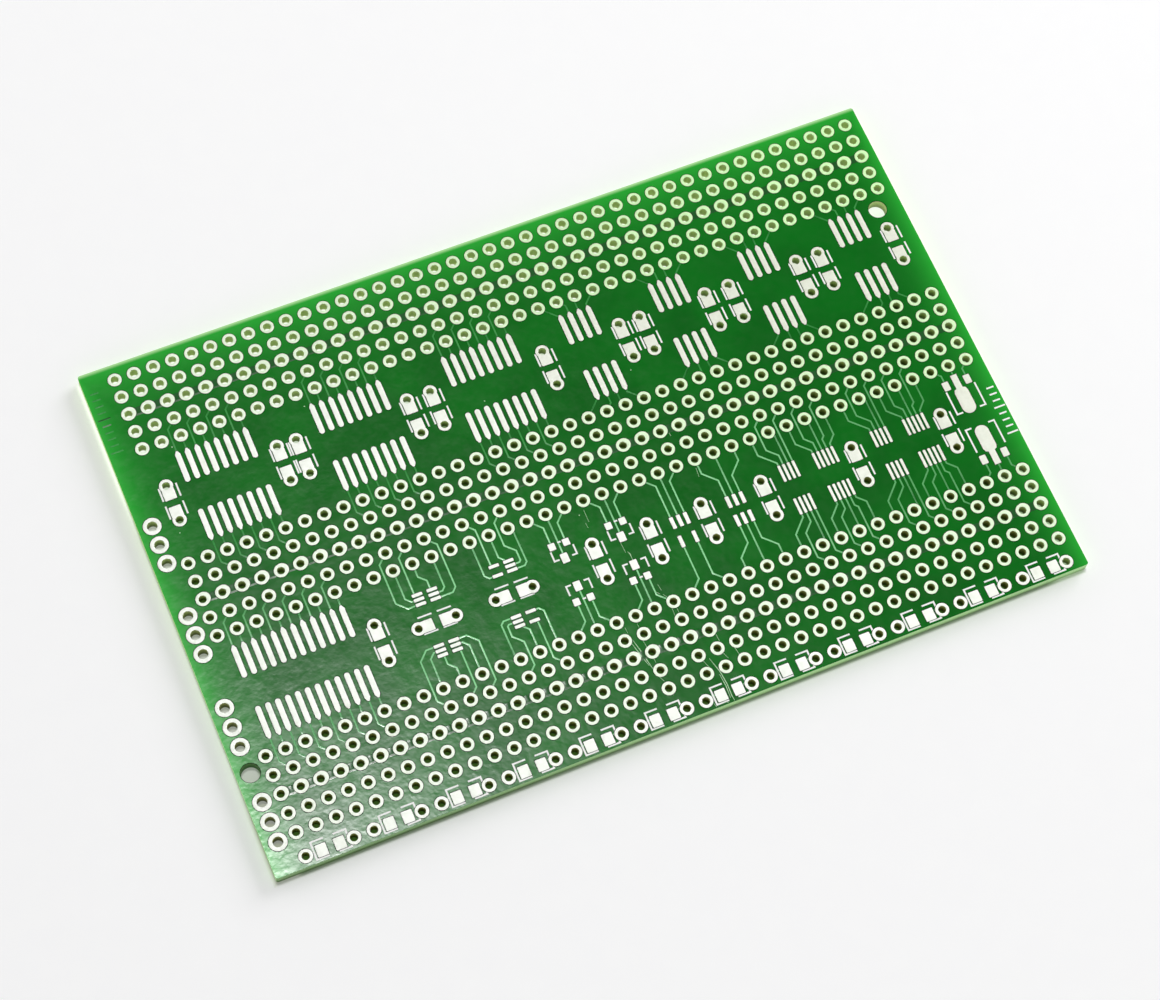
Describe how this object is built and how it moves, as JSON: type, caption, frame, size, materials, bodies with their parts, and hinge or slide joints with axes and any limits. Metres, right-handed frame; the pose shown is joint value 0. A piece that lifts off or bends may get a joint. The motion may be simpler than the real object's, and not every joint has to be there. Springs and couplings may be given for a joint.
{
  "type": "bare circuit board",
  "caption": "Bare green prototyping circuit board: fields of plain tinned holes, and bands of surface-mount footprints whose tracks fan out to the nearest holes.",
  "frame": {"origin": "middle of the underside", "axes": "+X along the long edge, away from the wire holes; +Y towards the back edge, away from the row of chip footprints; +Z out of the footprint side"},
  "size_m": [0.1078, 0.0702, 0.0016],
  "materials": {
    "laminate": "cut glass-epoxy laminate, satin, pale yellow-green and slightly translucent",
    "solder_mask": "semi-gloss green lacquer",
    "tinned_foil": "bright tin over copper foil",
    "foil": "bare copper foil under the lacquer",
    "legend_ink": "flat white screen ink"
  },
  "bodies": {
    "root": {"laminate": "laminate", "solder_mask": "solder_mask", "bus_row_03": "tinned_foil", "bus_row_08": "tinned_foil", "bus_row_13": "tinned_foil", "chip_pads_back": "tinned_foil", "chip_pads_flat": "tinned_foil", "chip_pads_front": "tinned_foil", "chip_pads_middle": "tinned_foil", "foil_scale": "foil", "legend_chips_back": "legend_ink", "legend_chips_flat": "legend_ink", "legend_chips_front": "legend_ink", "legend_chips_middle": "legend_ink", "legend_scale": "legend_ink", "legend_sot23": "legend_ink", "legend_sot89": "legend_ink", "msop_fanout_1": "tinned_foil", "msop_fanout_2": "tinned_foil", "msop_fanout_3": "tinned_foil", "msop_fanout_4": "tinned_foil", "pad_row_01": "tinned_foil", "pad_row_02": "tinned_foil", "pad_row_04": "tinned_foil", "pad_row_05": "tinned_foil", "pad_row_06": "tinned_foil", "pad_row_07": "tinned_foil", "pad_row_09": "tinned_foil", "pad_row_10": "tinned_foil", "pad_row_11": "tinned_foil", "pad_row_12": "tinned_foil", "pad_row_14": "tinned_foil", "pad_row_15": "tinned_foil", "sc70_fanout_back": "tinned_foil", "sc70_fanout_front": "tinned_foil", "sc70_five_fanout_back": "tinned_foil", "sc70_five_fanout_front": "tinned_foil", "so16_fanout_1": "tinned_foil", "so16_fanout_2": "tinned_foil", "so16_fanout_3": "tinned_foil", "so24_fanout": "tinned_foil", "so8_fanout_1": "tinned_foil", "so8_fanout_2": "tinned_foil", "so8_fanout_3": "tinned_foil", "so8_fanout_4": "tinned_foil", "sot23_fanout_1": "tinned_foil", "sot23_fanout_2": "tinned_foil", "sot23_fanout_3": "tinned_foil", "sot23_fanout_4": "tinned_foil", "sot23_five_fanout": "tinned_foil", "sot23_six_fanout": "tinned_foil", "sot89_fanout_back": "tinned_foil", "sot89_fanout_front": "tinned_foil", "wire_pads_1": "tinned_foil", "wire_pads_2": "tinned_foil", "wire_pads_3": "tinned_foil", "wire_pads_4": "tinned_foil"}
  },
  "joints": []
}
